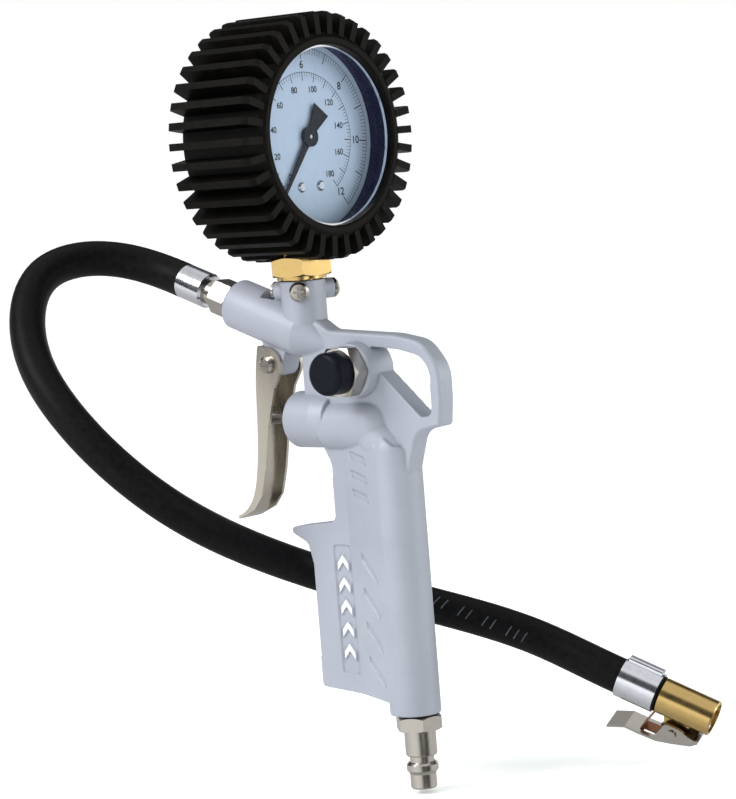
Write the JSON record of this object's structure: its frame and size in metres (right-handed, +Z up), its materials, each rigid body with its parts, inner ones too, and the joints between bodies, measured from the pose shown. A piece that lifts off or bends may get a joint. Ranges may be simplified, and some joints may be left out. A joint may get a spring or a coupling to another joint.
{
  "type": "tyre inflator with gauge",
  "caption": "Hand-held tyre inflator: cast grip with hanging loop, trigger, deflate button, swivelling dial gauge in a ribbed rubber boot, and a whip hose with a clip-on chuck.",
  "frame": {"origin": "centre of the inlet plug's nose face", "axes": "+Z up the grip along the inlet plug, +X to the rear that the dial faces, the hose leaves towards -X, -Y is the deflate button's side"},
  "size_m": [0.2301, 0.1623, 0.2947],
  "materials": {
    "casting": "satin",
    "nickel": "satin",
    "steel": "satin",
    "chrome": "polished",
    "brass": "satin",
    "bronze": "satin",
    "boot_rubber": "matte",
    "hose_rubber": "matte",
    "seal_rubber": "matte",
    "cap_plastic": "matte",
    "dial_paint": "satin",
    "pointer_paint": "satin",
    "dark_ring": "gloss",
    "window": "gloss"
  },
  "bodies": {
    "gun": {"gun_body": "casting", "inlet_plug": "nickel", "plug_seal": "seal_rubber", "valve_gland": "brass", "stem_o_ring": "seal_rubber", "valve_seat": "brass", "valve_spring": "steel", "trigger_screw": "nickel", "trigger_nut": "nickel", "release_nut": "nickel", "release_spring": "steel", "socket_screws": "nickel", "hose_nipple": "nickel", "nipple_washer": "steel", "hose_ferrule": "chrome", "hose": "hose_rubber", "ear_clamp": "chrome", "chuck_body": "brass", "chuck_seal": "seal_rubber", "chuck_depressor": "brass", "chuck_pin": "nickel", "chuck_spring": "bronze"},
    "trigger_lever": {"trigger": "nickel"},
    "main_valve": {"valve_stem": "steel", "valve_disc": "seal_rubber"},
    "release_button": {"release_cap": "cap_plastic", "release_stem": "steel", "release_seal": "seal_rubber"},
    "gauge": {"gauge_socket": "brass", "socket_o_ring": "seal_rubber", "gauge_case": "steel", "gauge_bezel": "chrome", "window_gasket": "seal_rubber", "gauge_window": "window", "dial_spacer": "dark_ring", "gauge_dial": "dial_paint", "dial_screws": "steel", "gauge_boot": "boot_rubber", "movement_back_plate": "brass", "movement_front_plate": "brass", "movement_pillars": "brass", "movement_screws": "steel", "bourdon_tube": "bronze", "hairspring": "bronze"},
    "pointer": {"gauge_pointer": "pointer_paint", "pinion_shaft": "steel"},
    "sector": {"sector_gear": "brass"},
    "link": {"bourdon_link": "brass"},
    "clip_lever": {"chuck_lever": "nickel"}
  },
  "joints": [
    {"name": "trigger_pull", "type": "hinge", "parent": "gun", "child": "trigger_lever", "pos_m": [-0.0575, 0, 0.162], "axis": [0, -1, 0], "range_deg": [0, 12]},
    {"name": "main_valve_slide", "type": "slide", "parent": "gun", "child": "main_valve", "axis": [1, 0, 0], "range_m": [0, 0.0046], "deforming": ["valve_spring"]},
    {"name": "release_press", "type": "slide", "parent": "gun", "child": "release_button", "axis": [0, 1, 0], "range_m": [0, 0.0025], "deforming": ["release_spring"]},
    {"name": "gauge_swivel", "type": "hinge", "parent": "gun", "child": "gauge", "pos_m": [-0.0416, 0, 0.19], "axis": [0, 0, 1], "continuous": true},
    {"name": "pointer_sweep", "type": "hinge", "parent": "gauge", "child": "pointer", "pos_m": [-0.0331, 0, 0.248], "axis": [-1, 0, 0], "range_deg": [0, 270], "deforming": ["hairspring"]},
    {"name": "sector_swing", "type": "hinge", "parent": "gauge", "child": "sector", "pos_m": [-0.0435, 0, 0.2282], "axis": [-1, 0, 0], "range_deg": [-27.5, 0.5]},
    {"name": "link_swing", "type": "hinge", "parent": "sector", "child": "link", "pos_m": [-0.0448, 0.0086, 0.2282], "axis": [-1, 0, 0], "range_deg": [-0.5, 27.5]},
    {"name": "clip_lever_press", "type": "hinge", "parent": "gun", "child": "clip_lever", "pos_m": [0.06208, 0.07796, 0.01159], "axis": [-0.1495, 0.9117, 0.3827], "range_deg": [0, 15], "deforming": ["chuck_spring"]}
  ],
  "couplings": [
    {"joint": "main_valve_slide", "follows": "trigger_pull", "m_per_rad": 0.0217},
    {"joint": "sector_swing", "follows": "pointer_sweep", "ratio": -0.1},
    {"joint": "link_swing", "follows": "pointer_sweep", "ratio": 0.1}
  ]
}
